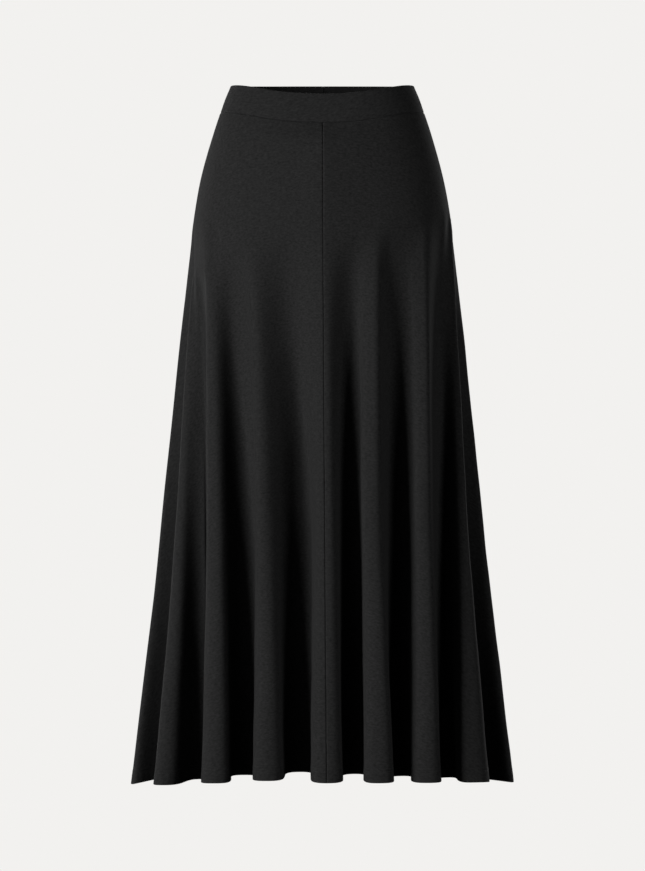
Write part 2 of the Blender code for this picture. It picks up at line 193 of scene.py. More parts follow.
def line_points(depth):
    """Where each line is at a depth, the way it faces, and its handle over half the chord."""
    hips = np.radians(HIP_ANGLE)
    if depth <= HIP_DEPTH:
        points, facing = on_oval(hips, *outline(depth))
        return points, facing, np.full(len(hips), SMOOTH_HANDLE)
    hip_oval = outline(HIP_DEPTH)
    hem_oval = outline(HEM_DEPTH) - MIDDLE_INSET
    here = outline(depth) - MIDDLE_INSET * growth(depth, HIP_DEPTH)
    way_down = (depth - HIP_DEPTH) / (HEM_DEPTH - HIP_DEPTH)
    straight = hip_oval + (hem_oval - hip_oval) * way_down
    half_depths = np.where(HEM_Y <= 0, hem_oval[1], hem_oval[2])
    hem_angle = np.arctan2(HEM_X / hem_oval[0], -HEM_Y / half_depths)
    hip_points, hip_facing = on_oval(hips, *hip_oval)
    plain_hem, _ = on_oval(hem_angle, *hem_oval)
    swell = np.where(plain_hem[:, 1] <= 0, here[1] / straight[1], here[2] / straight[2])
    middle = hip_points + (plain_hem - hip_points) * way_down
    middle = middle * np.stack([np.full(len(hips), here[0] / straight[0]), swell], axis=-1)
    half_way = np.stack([np.cos(hip_facing), np.sin(hip_facing)], axis=-1) * SWAY[:, None]
    middle = middle + half_way * np.sin(np.pi * way_down) ** 2
    grown = growth(depth, START_DEPTH)
    points = middle + (np.stack([HEM_X, HEM_Y], axis=-1) - plain_hem) * grown[:, None]
    turn = (np.radians(HEM_FACING) - hip_facing + np.pi) % (2 * np.pi) - np.pi
    half_grown = 4 * grown * (1 - grown)
    facing = hip_facing + turn * grown ** TURNING + np.radians(LEAN) * half_grown
    handle = SMOOTH_HANDLE + (HEM_HANDLE - SMOOTH_HANDLE) * grown ** ROUNDING
    return points, facing, handle - PINCH * half_grown


# %% A level section of the cloth
STEPS = 72   # points between a crest and the next hollow, before the cloth is divided up


def keel(across, depth):
    """How far the centre-front seam pushes the cloth out, at a distance from the seam."""
    rise = np.clip((depth - BAND_DEPTH) / (KEEL_START_DEPTH - BAND_DEPTH), 0, 1)
    fade = np.clip((KEEL_END_DEPTH - depth) / (KEEL_END_DEPTH - KEEL_START_DEPTH), 0, 1)
    return KEEL_HEIGHT * rise * fade * np.exp(-np.abs(across) / KEEL_WIDTH)


def section(depth):
    """The closed outline of the cloth at a depth, as points going round from the front."""
    points, facing, handle = line_points(depth)
    along = np.stack([np.cos(facing), np.sin(facing)], axis=-1)
    after = np.roll(points, -1, axis=0)
    half_chord = np.linalg.norm(after - points, axis=1)[:, None] / 2
    leave = points + along * half_chord * handle[:, None]
    arrive = after - np.roll(along * handle[:, None], -1, axis=0) * half_chord
    t = (np.arange(STEPS) / STEPS)[None, :, None]
    curve = (points[:, None] * (1 - t) ** 3 + 3 * leave[:, None] * t * (1 - t) ** 2
             + 3 * arrive[:, None] * t * t * (1 - t) + after[:, None] * t ** 3)
    curve = curve.reshape(-1, 2)
    front = curve[:, 1] < 0
    curve[front, 1] -= keel(curve[front, 0] - points[0, 0], depth)
    return curve


# %% The height of every point
def round_the_waist(values):
    """Spread a value of each line smoothly over the points between the lines."""
    t = (np.arange(STEPS) / STEPS)[None, :]
    blend = t * t * (3 - 2 * t)
    return (values[:, None] * (1 - blend) + np.roll(values, -1)[:, None] * blend).reshape(-1)


def edge_heights(front_dip):
    """Height of the top edge or band seam above its height at the sides, all round."""
    angles = np.radians(np.append(HIP_ANGLE, HIP_ANGLE[0] + 360))
    places = np.arange(len(angles)) * STEPS
    ahead = np.cos(np.interp(np.arange(STEPS * len(HIP_ANGLE)), places, angles))
    dip = front_dip * np.clip(ahead, 0, 1) ** DIP_SHARPNESS
    return BACK_RISE * np.clip(-ahead, 0, 1) - dip


def cloth_row(depth):
    """One row of points round the cloth at a depth, in space."""
    top, seam = edge_heights(FRONT_DIP_TOP), edge_heights(FRONT_DIP_SEAM)
    if depth <= BAND_DEPTH:
        share = depth / BAND_DEPTH
        height = -depth + top * (1 - share) + seam * share
    else:
        share = (depth - BAND_DEPTH) / (HEM_DEPTH - BAND_DEPTH)
        height = -depth + seam * (1 - share) + round_the_waist(HEM_RISE) * share
    return np.column_stack([section(depth), height])


def cloth_grid(depths):
    """Rows of points down the whole cloth, and the way the cloth faces at each."""
    points = np.stack([cloth_row(depth) for depth in depths])
    around = np.roll(points, -1, axis=1) - np.roll(points, 1, axis=1)
    facing = np.cross(np.gradient(points, axis=0), around)
    return points, facing / np.linalg.norm(facing, axis=2)[:, :, None]


# %% [markdown]
# ## Cutting the cloth into its pieces
#
# The skirt is sewn from three flared panels under a band, so the cloth is divided at the
# centre-front seam, the side seams and the band seam. Each piece is read from the rows at
# chosen distances from its seams: a few fractions of a millimetre apart where the cloth rolls
# into a seam, and evenly in between. Its rows are close together at the band seam and at the
# hem for the same reason.

# %% Thickness of the cloth, its seams and its hem
CLOTH = 0.0009            # one layer of jersey
BAND = 0.0024             # two layers with the elastic between them
SEAM_GAP = 0.00001        # half the space between two sewn edges
SEAM_ROLL = 0.0019        # distance over which cloth rolls into a seam
SEAM_SINK = 0.0013        # how deep its edge lies
BAND_SEAM_ROLL = 0.0017   # the same at the band seam
BAND_SEAM_SINK = 0.0011
TURN_UP = 0.0205          # height of the double cloth at the hem
HEM_PUFF = 0.00035        # the double cloth stands out this much
STITCH_ROWS = (0.0155, 0.0195)   # two rows of needle stitches, above the edge
STITCH_SINK = 0.00028     # depth that they pull the cloth in
STITCH_SINK_WIDTH = 0.0010

# %% Where the rows lie
NEAR_SEAM = (0.0, 0.25, 0.5, 0.8, 1.2, 1.8)    # millimetres from a seam, after its gap
NEAR_BAND = (0.1, 0.3, 0.6, 1.0, 1.5, 2.2, 3.5, 6.0, 10.0)
NEAR_HEM = (26.0, 23.0, 21.4, 20.8, 20.2, 19.5, 18.6, 17.5, 16.4, 15.5, 14.6, 13.0,
            10.0, 7.0, 4.0, 2.0, 1.0, 0.75, 0.5, 0.28, 0.12, 0.04, 0.0)
ROW_SPACING = 0.008
SEAM_INSET = 0.0028       # even columns keep this far from the seams
BAND_NEAR_TOP = (0.0, 0.05, 0.15, 0.35, 0.65, 1.0, 1.5, 2.2)   # millimetres below the top edge
BAND_NEAR_SEAM = (2.2, 1.5, 1.0, 0.6, 0.3, 0.1)                # and above the band seam
BAND_EVEN_TOP = 0.003     # even rows start this far below the top edge
BAND_EVEN_SEAM = 0.0035   # and end this far above the seam
BAND_EVEN_ROWS = 12

top_rows = BAND_DEPTH + np.array(NEAR_BAND) / 1000
hem_rows = HEM_DEPTH - np.array(NEAR_HEM) / 1000
middle_count = round((hem_rows[0] - top_rows[-1]) / ROW_SPACING)
middle_rows = np.linspace(top_rows[-1], hem_rows[0], middle_count + 1)[1:-1]
panel_depths = np.concatenate([top_rows, middle_rows, hem_rows])
panel_grid = cloth_grid(panel_depths)
band_depths = np.concatenate([
    np.array(BAND_NEAR_TOP) / 1000,
    np.linspace(BAND_EVEN_TOP, BAND_DEPTH - BAND_EVEN_SEAM, BAND_EVEN_ROWS),
    BAND_DEPTH - np.array(BAND_NEAR_SEAM) / 1000,
])
band_grid = cloth_grid(band_depths)
print(len(panel_depths), "rows in the panels,", len(band_depths), "in the band")


# %% A stretch of cloth between two lines
class Stretch:
    """The cloth from one line round to another, which can be read at any distance along."""

    def __init__(self, grid, first_line, last_line):
        columns = grid[0].shape[1]
        self.first = LINE_KEYS.index(first_line) * STEPS
        self.last = LINE_KEYS.index(last_line) * STEPS
        if self.last <= self.first:
            self.last += columns
        taken = np.arange(self.first, self.last + 1) % columns
        self.points, self.facing = grid[0][:, taken], grid[1][:, taken]
        steps = np.linalg.norm(np.diff(self.points, axis=1), axis=2)
        self.along = np.pad(np.cumsum(steps, axis=1), ((0, 0), (1, 0)))
        self.length = self.along[:, -1]

    def read(self, distances):
        """Points and facings at distances along each row: one row of distances for each."""
        read = [np.stack([np.stack([np.interp(at, along, row[:, axis]) for axis in range(3)],
                                   axis=-1)
                          for at, along, row in zip(distances, self.along, values)])
                for values in (self.points, self.facing)]
        return read[0], read[1] / np.linalg.norm(read[1], axis=2)[:, :, None]

    def place_of(self, line):
        """Spans from the first line to another, which may lie past the last."""
        return (LINE_KEYS.index(line) - self.first / STEPS) % len(LINE_KEYS)

    def distance_to(self, places):
        """Distance along each row to a place, which is counted in spans from the first line.

        A place beyond either end is as far past it as the span next to it is long.
        """
        spans = np.arange(self.along.shape[1]) / STEPS
        inside = np.clip(places, 0, spans[-1])
        at = np.array([np.interp(place, spans, along) for place, along in zip(inside, self.along)])
        first_span, last_span = self.along[:, STEPS], self.length - self.along[:, -1 - STEPS]
        return at + (places - inside) * np.where(places < 0, first_span, last_span)

    def stations(self, between_lines):
        """Distances along each row: close together at both ends, and even between the lines."""
        near = SEAM_GAP + np.array(NEAR_SEAM) / 1000
        share = self.along[:, ::STEPS // between_lines] / self.length[:, None]
        middle = SEAM_INSET + share * (self.length[:, None] - 2 * SEAM_INSET)
        rows = len(self.length)
        return np.concatenate([np.tile(near, (rows, 1)), middle,
                               self.length[:, None] - np.tile(near[::-1], (rows, 1))], axis=1)


# %% [markdown]
# ## What the cloth does at its edges
#
# Sewn jersey isn't flat at a seam: each edge turns in over a couple of millimetres, which
# leaves the fine dark groove that shows on the front. At the hem the cloth is folded up and
# caught by two rows of stitches, so it stands out a little, dips along the stitches and ripples
# slightly between them. These are small moves along the way the cloth faces, so they are
# worked out as one height for every point.

# %% Rolls, rounded edges and the hem
HEM_FADE = 0.004   # distance over which the double cloth's height fades in
#  height, wavelength along the hem, slant
HEM_RIPPLES = (
    (0.00011, 0.0091, 0.28),
    (0.00009, 0.0237, 0.40),
)
RIPPLE_REACH = 1.4   # ripples end this many times as high as the lower stitches
#  height, then rates per metre: round the skirt, slanting and down
WAVERS = (
    (0.00035, 47, 9, 13),
    (0.00014, 119, -15, 31),
)
WAVER_RATE = 50      # a waver with this rate round the skirt is begun at exactly its turn


def roll(distance, width, sink):
    """How far cloth turns in at a distance from a seam."""
    return sink * np.clip(1 - distance / width, 0, 1) ** 2


def rounding(distance, radius):
    """How far a rounded edge falls back at a distance from the edge."""
    inside = np.clip(radius - distance, 0, radius)
    return radius - np.sqrt(radius ** 2 - inside ** 2)


def hem_height(above_edge, along):
    """How far the outside of the hem stands out at a distance above its edge."""
    puff = HEM_PUFF * np.clip((TURN_UP + HEM_FADE / 2 - above_edge) / HEM_FADE, 0, 1)
    for row in STITCH_ROWS:
        puff = puff - STITCH_SINK * np.exp(-((above_edge - row) / STITCH_SINK_WIDTH) ** 2)
    ripple = 0
    for height, wavelength, slant in HEM_RIPPLES:
        ripple = ripple + height * np.sin((along + above_edge * slant) * 2 * np.pi / wavelength)
    return puff + ripple * np.clip(RIPPLE_REACH - above_edge / STITCH_ROWS[0], 0, 1)


def unevenness(along, depth, turn):
    """The slight waver of hanging cloth: waves that cross each other, begun at a turn."""
    waver = 0
    for height, round_rate, slant_rate, down_rate in WAVERS:
        begun = turn * round_rate / WAVER_RATE
        slanting = np.sin(along * round_rate + depth * slant_rate + begun)
        waver = waver + height * slanting * np.sin(depth * down_rate + turn)
    return waver


# %% A shell of cloth from its outer and inner faces
SHARP_EDGE = 60   # degrees between faces past which an edge isn't smoothed


def shell(name, outer, inner, flat):
    """A closed shell between two grids whose rows go down and whose columns go round."""
    rows, columns = outer.shape[:2]
    front = np.arange(rows * columns).reshape(rows, columns)
    back = front + rows * columns
    a, b, c, d = front[:-1, :-1], front[1:, :-1], front[1:, 1:], front[:-1, 1:]
    faces = [np.stack([a, b, c, d], axis=-1).reshape(-1, 4)]
    faces += [np.stack([d, c, b, a], axis=-1).reshape(-1, 4) + rows * columns]
    for edge, inside in ((front[0], back[0]), (front[-1, ::-1], back[-1, ::-1]),
                         (front[::-1, 0], back[::-1, 0]), (front[:, -1], back[:, -1])):
        faces += [np.stack([inside[:-1], edge[:-1], edge[1:], inside[1:]], axis=-1)]
    faces = np.concatenate(faces)
    mesh = bpy.data.meshes.new(name)
    points = np.concatenate([outer.reshape(-1, 3), inner.reshape(-1, 3)])
    mesh.from_pydata(points.tolist(), [], faces.tolist())
    places = np.concatenate([flat.reshape(-1, 2)] * 2)
    layer = mesh.uv_layers.new(name="flat")
    layer.data.foreach_set("uv", places[faces.reshape(-1)].astype(np.float32).ravel())
    mesh.shade_smooth()
    mesh.set_sharp_from_angle(angle=math.radians(SHARP_EDGE))
    piece = bpy.data.objects.new(name, mesh)
    bpy.context.scene.collection.objects.link(piece)
    print(f"{name}: {rows} rows by {columns} columns")
    return piece


# %% [markdown]
# ## Creases
#
# The folds above are broad. Where real cloth bends from the smooth hips into a fold, it also
# breaks along a narrow ridge, and here and there a soft trough runs beside it. A ridge is mostly
# steep on one side and falls away slowly on the other, so it catches the light as a thin line.
# Each crease follows a line of the folds, mostly a little to one side of it, and fades out at
# both ends. No two are alike in place, height and width.

# %% Ridges and troughs, listed one by one
#  line, places beside it at the top, half way and at the bottom in spans, depths where it starts
#  and ends, height, which is less than 0 for a trough, and its width before and after its middle
CREASES = (
    ("crest", "front centre", 0.00, 0.00, 0.00, 0.030, 0.300, 0.0022, 0.030, 0.030),
    ("crest", "front right 3", -0.26, -0.32, -0.30, 0.250, 0.760, 0.0026, 0.0034, 0.0085),
    ("hollow", "back right 4", 0.40, 0.35, 0.30, 0.330, 0.620, 0.0008, 0.0060, 0.0060),
    ("hollow", "front right 3", 0.00, 0.00, 0.10, 0.330, 0.935, 0.0070, 0.0150, 0.0150),
    ("crest", "front right 2", -0.30, -0.18, -0.18, 0.220, 0.720, 0.0026, 0.0045, 0.0095),
    ("crest", "front right 1", -0.22, -0.14, -0.16, 0.220, 0.740, 0.0030, 0.0040, 0.0120),
    ("crest", "front right 1", -0.50, -0.50, -0.54, 0.235, 0.700, -0.0065, 0.0130, 0.0080),
    ("crest", "front centre", -0.33, -0.42, -0.58, 0.230, 0.600, 0.0008, 0.0080, 0.0080),
    ("crest", "front left 1", -0.40, -0.30, -0.16, 0.230, 0.700, 0.0040, 0.0060, 0.0130),
    ("crest", "front left 1", 0.20, 0.20, 0.16, 0.230, 0.560, 0.0020, 0.0080, 0.0080),
    ("crest", "front left 2", -0.26, -0.16, -0.08, 0.230, 0.700, 0.0034, 0.0060, 0.0110),
    ("crest", "front left 2", 0.16, 0.16, 0.14, 0.240, 0.560, 0.0016, 0.0060, 0.0070),
    ("crest", "front left 3", 0.02, 0.12, 0.18, 0.240, 0.560, 0.0008, 0.0030, 0.0070),
    ("crest", "side left", -0.15, -0.10, -0.20, 0.260, 0.700, 0.0011, 0.0045, 0.0080),
    ("crest", "back left 4", 0.20, 0.10, 0.12, 0.300, 0.620, 0.0014, 0.0090, 0.0055),
    ("crest", "back left 3", -0.22, -0.12, -0.05, 0.240, 0.730, 0.0018, 0.0055, 0.0110),
    ("crest", "back left 3", -0.48, -0.36, -0.30, 0.270, 0.560, -0.0008, 0.0075, 0.0075),
    ("crest", "back left 2", 0.25, 0.14, 0.20, 0.290, 0.660, 0.0013, 0.0100, 0.0055),
    ("crest", "back left 1", -0.18, -0.10, -0.16, 0.230, 0.600, 0.0019, 0.0055, 0.0100),
    ("crest", "back left 1", 0.40, 0.32, 0.30, 0.310, 0.700, -0.0009, 0.0075, 0.0075),
    ("crest", "back right 1", 0.12, 0.16, 0.10, 0.260, 0.740, 0.0015, 0.0090, 0.0060),
    ("crest", "back right 2", -0.30, -0.16, -0.12, 0.245, 0.650, 0.0017, 0.0060, 0.0110),
    ("crest", "back right 3", 0.10, 0.14, 0.22, 0.330, 0.710, 0.0012, 0.0090, 0.0055),
    ("crest", "back right 4", -0.12, -0.16, -0.10, 0.250, 0.580, 0.0014, 0.0055, 0.0090),
    ("crest", "side right", 0.14, 0.10, 0.18, 0.290, 0.690, 0.0011, 0.0080, 0.0050),
)
CREASE_FADE = 0.7   # less makes a crease reach its full height sooner


def crease_height(stretch, distances, depths):
    """How far the creases stand out at each point of a stretch of cloth."""
    height = np.zeros_like(distances)
    for kind, name, top, half_way, bottom, start, end, rise, before, after in CREASES:
        place = stretch.place_of((kind, name))
        if place * STEPS > stretch.last - stretch.first:
            continue
        share = np.clip((depths - start) / (end - start), 0, 1)
        beside = top * (1 - share) * (1 - 2 * share) + 4 * half_way * share * (1 - share)
        beside = beside + bottom * share * (2 * share - 1)
        away = distances - stretch.distance_to(place + beside)[:, None]
        profile = np.exp(-(away / np.where(away < 0, before, after)) ** 2)
        height += (rise * np.sin(np.pi * share) ** CREASE_FADE)[:, None] * profile
    return height


# %% [markdown]
# ## The flat cut of a panel
#
# A flared panel is cut as part of a ring: its waist edge is the short arc, its hem edge the
# long one, and the straight grain runs down the middle of the back and down the centre-front
# seam. The knit has to follow that cut, so every point also gets its place in the flat panel,
# in metres, as a UV map. The same sizes say what the cloth was cut to.

# %% Place in the flat cut
SEAM_ALLOWANCE = 0.007


def flat_places(stretch, distances, depths, grain_share):
    """Place of each point in the flat panel, and the panel's width, length and area."""
    length = depths[-1] - depths[0]
    waist, hem = stretch.length[0], stretch.length[-1]
    turn = (hem - waist) / length
    radius = waist / turn + depths - depths[0]
    angle = turn * (distances / stretch.length[:, None] - grain_share)
    places = np.stack([radius[:, None] * np.sin(angle), -radius[:, None] * np.cos(angle)], axis=-1)
    outer = radius[-1] + TURN_UP
    inner = radius[0] - SEAM_ALLOWANCE
    width = 2 * outer * math.sin(turn / 2) + 2 * SEAM_ALLOWANCE
    height = outer - inner * math.cos(turn / 2)
    area = turn / 2 * (outer ** 2 - inner ** 2) + 2 * SEAM_ALLOWANCE * (outer - inner)
    print(f"  cut {width:.3f} x {height:.3f} m, {area:.3f} m2, waist {waist:.3f}, hem {hem:.3f}")
    return places, (width, height), area


# %% The three flared panels
FRONT_COLUMNS = 36       # columns between a crest and the next hollow
BACK_COLUMNS = 18
DOUBLED_FADE = 0.0006    # height over which the cloth becomes double at the raw edge
LAYER_SPACE = 0.0001     # air between the two layers of the hem
CENTRE_FRONT = ("crest", "front centre")
LEFT_SIDE = ("hollow", "side left")
RIGHT_SIDE = ("hollow", "back right 4")
CENTRE_BACK = ("hollow", "back left 1")


def panel(name, first_line, last_line, between_lines, grain_share, turn):
    """One panel, its outer and inner points and the way they face.

    The straight grain runs down the panel at a share of its width. The turn begins its waver.
    """
    stretch = Stretch(panel_grid, first_line, last_line)
    distances = stretch.stations(between_lines)
    points, facing = stretch.read(distances)
    depth = panel_depths[:, None]
    above_edge = HEM_DEPTH - depth
    nearest = np.minimum(distances, stretch.length[:, None] - distances)
    height = unevenness(distances, depth, turn) + hem_height(above_edge, distances)
    height = height + crease_height(stretch, distances, panel_depths)
    height = height - roll(nearest, SEAM_ROLL, SEAM_SINK)
    height = height - roll(depth - BAND_DEPTH, BAND_SEAM_ROLL, BAND_SEAM_SINK)
    doubled = np.clip((TURN_UP + DOUBLED_FADE / 2 - above_edge) / DOUBLED_FADE, 0, 1)
    thickness = CLOTH * (1 + doubled) + LAYER_SPACE * doubled
    fallen = rounding(above_edge, thickness[-1, 0] / 2)
    outer = points + facing * (height - fallen)[:, :, None]
    inner = points + facing * (height - thickness + fallen)[:, :, None]
    flat, size, area = flat_places(stretch, distances, panel_depths, grain_share)
    piece = shell(name, outer, inner, flat)
    piece["cut_size"], piece["cut_area"] = size, area
    return piece, outer, inner, facing


right_front, *right_faces = panel("front_panel_right_cloth", RIGHT_SIDE, CENTRE_FRONT,
                                  FRONT_COLUMNS, grain_share=1.0, turn=0.4)
left_front, *left_faces = panel("front_panel_left_cloth", CENTRE_FRONT, LEFT_SIDE,
                                FRONT_COLUMNS, grain_share=0.0, turn=2.9)
back, *back_faces = panel("back_panel_cloth", LEFT_SIDE, RIGHT_SIDE,
                          BACK_COLUMNS, grain_share=0.5, turn=5.1)


# %% The waistband
BAND_COLUMNS = 12
BAND_SWELL = 0.0005    # the elastic makes the band stand out this much in its middle
BAND_WAVER = 0.4       # and leaves this share of the cloth's waver


def waistband():
    """The folded band, joined at the centre back."""
    stretch = Stretch(band_grid, CENTRE_BACK, CENTRE_BACK)
    distances = stretch.stations(BAND_COLUMNS)
    points, facing = stretch.read(distances)
    depth = band_depths[:, None]
    nearest = np.minimum(distances, stretch.length[:, None] - distances)
    swell = BAND_SWELL * np.sin(np.pi * np.clip(depth / BAND_DEPTH, 0, 1)) ** 2
    height = swell + BAND_WAVER * unevenness(distances, depth, turn=1.1)
    height = height - roll(nearest, SEAM_ROLL, SEAM_SINK)
    height = height - roll(BAND_DEPTH - depth, BAND_SEAM_ROLL, BAND_SEAM_SINK)
    fallen = rounding(depth, BAND / 2)
    outer = points + facing * (height - fallen)[:, :, None]
    inner = points + facing * (height - BAND + fallen)[:, :, None]
    flat = np.stack([distances, np.broadcast_to(-depth, distances.shape)], axis=-1)
    piece = shell("waistband_cloth", outer, inner, flat)
    piece["cut_size"] = (float(stretch.length.mean()) + 2 * SEAM_ALLOWANCE,
                         BAND_DEPTH + SEAM_ALLOWANCE)
    return piece


band = waistband()

# %% [markdown]
# ## Black jersey
#
# Fine viscose jersey is matt, with a heather of lighter and darker yarn and a faint halo of
# fibres that brightens it at grazing angles. Seen close, its face is columns of small V-shaped
# loops. All of it follows the flat cut through the UV map, so the loops run down the grain.
# The colour and the relief are written as arithmetic on sockets.

# %% A way of writing node trees as arithmetic
class Wire:
    """An output socket of a node tree, on which Python's arithmetic adds Math nodes."""

    def __init__(self, tree, socket):
        self.tree = tree
        self.socket = socket

    def math(self, operation, *values):
        """A Math node on up to three values or wires."""
        inputs = dict(enumerate(values))
        return add(self.tree, "ShaderNodeMath", {"operation": operation}, inputs)

    def __add__(self, other):
        return self.math("ADD", self, other)

    def __sub__(self, other):
        return self.math("SUBTRACT", self, other)

    def __rsub__(self, other):
        return self.math("SUBTRACT", other, self)

    def __mul__(self, other):
        return self.math("MULTIPLY", self, other)

    def __truediv__(self, other):
        return self.math("DIVIDE", self, other)

    def __abs__(self):
        return self.math("ABSOLUTE", self)

    __radd__ = __add__
    __rmul__ = __mul__


def add(tree, kind, settings=None, inputs=None, output=0):
    """Add a node: its settings first, then the values or wires of its sockets."""
    node = tree.nodes.new(kind)
    for name, value in (settings or {}).items():
        setattr(node, name, value)
    for key, value in (inputs or {}).items():
        if isinstance(value, Wire):
            tree.links.new(value.socket, node.inputs[key])
        else:
            node.inputs[key].default_value = value
    return Wire(tree, node.outputs[output])


# %% Knit and heather
WALE = 0.00072         # width of a column of loops
COURSE = 0.00056       # height of a row of loops
LEG_SLANT = 1.3        # courses that a loop's legs climb across a column
LEG_SWELL = 0.35       # share of a leg's height that rises and falls along it
KNIT_RELIEF = 0.000035     # height of the loops
FLECK_RELIEF = 0.00003     # and of the flecks
FLECK = (0.0046, 0.0022)   # length and height of the heather's flecks
CLOUD = (0.011, 0.006)     # and of its softer patches
CLOUD_SHARE = 0.3
DARK_YARN = (0.0080, 0.0080, 0.0081, 1.0)
LIGHT_YARN = (0.0360, 0.0360, 0.0360, 1.0)
ROUGHEST = 0.94        # in the middle of a light fleck
SMOOTHEST = 0.86       # and of a dark one
GLOSS = 0.15           # matt fibres reflect little
HALO = 0.06            # sheen of the fibres that stand out of the cloth
HALO_ROUGHNESS = 0.35


def patches(tree, place, size, detail):
    """Noise from 0 to 1 whose patches have a length along the rows and a height."""
    stretched = add(tree, "ShaderNodeVectorMath", {"operation": "DIVIDE"},
                    {0: place, 1: (size[0], size[1], 1.0)})
    return add(tree, "ShaderNodeTexNoise", {"noise_dimensions": "2D"},
               {"Vector": stretched, "Scale": 1.0, "Detail": detail, "Roughness": 0.6})


def knit(tree, place):
    """The relief of the loops, from 0 to 1: two slanting legs in each column."""
    across = add(tree, "ShaderNodeSeparateXYZ", None, {0: place}, "X")
    down = add(tree, "ShaderNodeSeparateXYZ", None, {0: place}, "Y")
    side = abs((across / WALE).math("FRACT", across / WALE) - 0.5)
    leg = 1 - 16 * (side - 0.25) * (side - 0.25)    # 1 along the middle of a leg, 0 at its edges
    slant = (down / COURSE + LEG_SLANT * side) * (2 * math.pi)
    return leg * (1 - LEG_SWELL + LEG_SWELL * slant.math("COSINE", slant))


def jersey(name):
    """Matt black knitted cloth."""
    material = bpy.data.materials.new(name)
    material.use_nodes = True
    tree = material.node_tree
    shader = tree.nodes["Principled BSDF"]
    place = add(tree, "ShaderNodeUVMap", {"uv_map": "flat"})
    fleck = patches(tree, place, FLECK, 2.0)
    cloud = patches(tree, place, CLOUD, 1.0)
    yarn = fleck + (cloud - 0.5) * CLOUD_SHARE
    colour = add(tree, "ShaderNodeMix", {"data_type": "RGBA"},
                 {0: yarn, 6: DARK_YARN, 7: LIGHT_YARN}, 2)
    height = knit(tree, place) * KNIT_RELIEF + fleck * FLECK_RELIEF
    bump = add(tree, "ShaderNodeBump", None, {"Height": height, "Distance": 1.0, "Strength": 1.0})
    roughness = SMOOTHEST + fleck * (ROUGHEST - SMOOTHEST)
    for socket, wire in (("Base Color", colour), ("Roughness", roughness), ("Normal", bump)):
        tree.links.new(wire.socket, shader.inputs[socket])
    shader.inputs["Specular IOR Level"].default_value = GLOSS
    shader.inputs["Sheen Weight"].default_value = HALO
    shader.inputs["Sheen Roughness"].default_value = HALO_ROUGHNESS
    return material


panel_jersey = jersey("black_jersey")
band_jersey = jersey("band_jersey")
for piece, material in ((right_front, panel_jersey), (left_front, panel_jersey),
                        (back, panel_jersey), (band, band_jersey)):
    piece.data.materials.append(material)

# %% [markdown]
# ## Stitches at the hem
#
# The hem is turned up once and held by a twin-needle machine, which leaves two rows of short
# straight stitches outside and one looped thread inside that covers the raw edge. A picture of
# stitches would leave nothing in the mesh, and placing some two thousand by hand is hopeless.
# Geometry Nodes suits them: one node group lays a curved piece of thread at even steps along a
# path, turned to lie on the cloth. With more reach to the side, the same group makes the loops.

# %% Thread
SPECKLES = 2400.0           # to a metre
THREAD_ROUGHNESS = 0.5      # where it is smoothest
SPECKLE_ROUGHNESS = 0.2     # the brightest speckles are this much rougher
THREAD_GLOSS = 0.3


def thread_material():
    """Black polyester thread, a little glossier than the cloth, with a fine speckle."""
    material = bpy.data.materials.new("black_thread")
    material.use_nodes = True
    tree = material.node_tree
    shader = tree.nodes["Principled BSDF"]
    place = add(tree, "ShaderNodeTexCoord", output="Object")
    speckle = add(tree, "ShaderNodeTexNoise", None,
                  {"Vector": place, "Scale": SPECKLES, "Detail": 1.0})
    colour = add(tree, "ShaderNodeMix", {"data_type": "RGBA"},
                 {0: speckle, 6: DARK_YARN, 7: LIGHT_YARN}, 2)
    tree.links.new(colour.socket, shader.inputs["Base Color"])
    roughness = THREAD_ROUGHNESS + speckle * SPECKLE_ROUGHNESS
    tree.links.new(roughness.socket, shader.inputs["Roughness"])
    shader.inputs["Specular IOR Level"].default_value = THREAD_GLOSS
    return material


thread = thread_material()


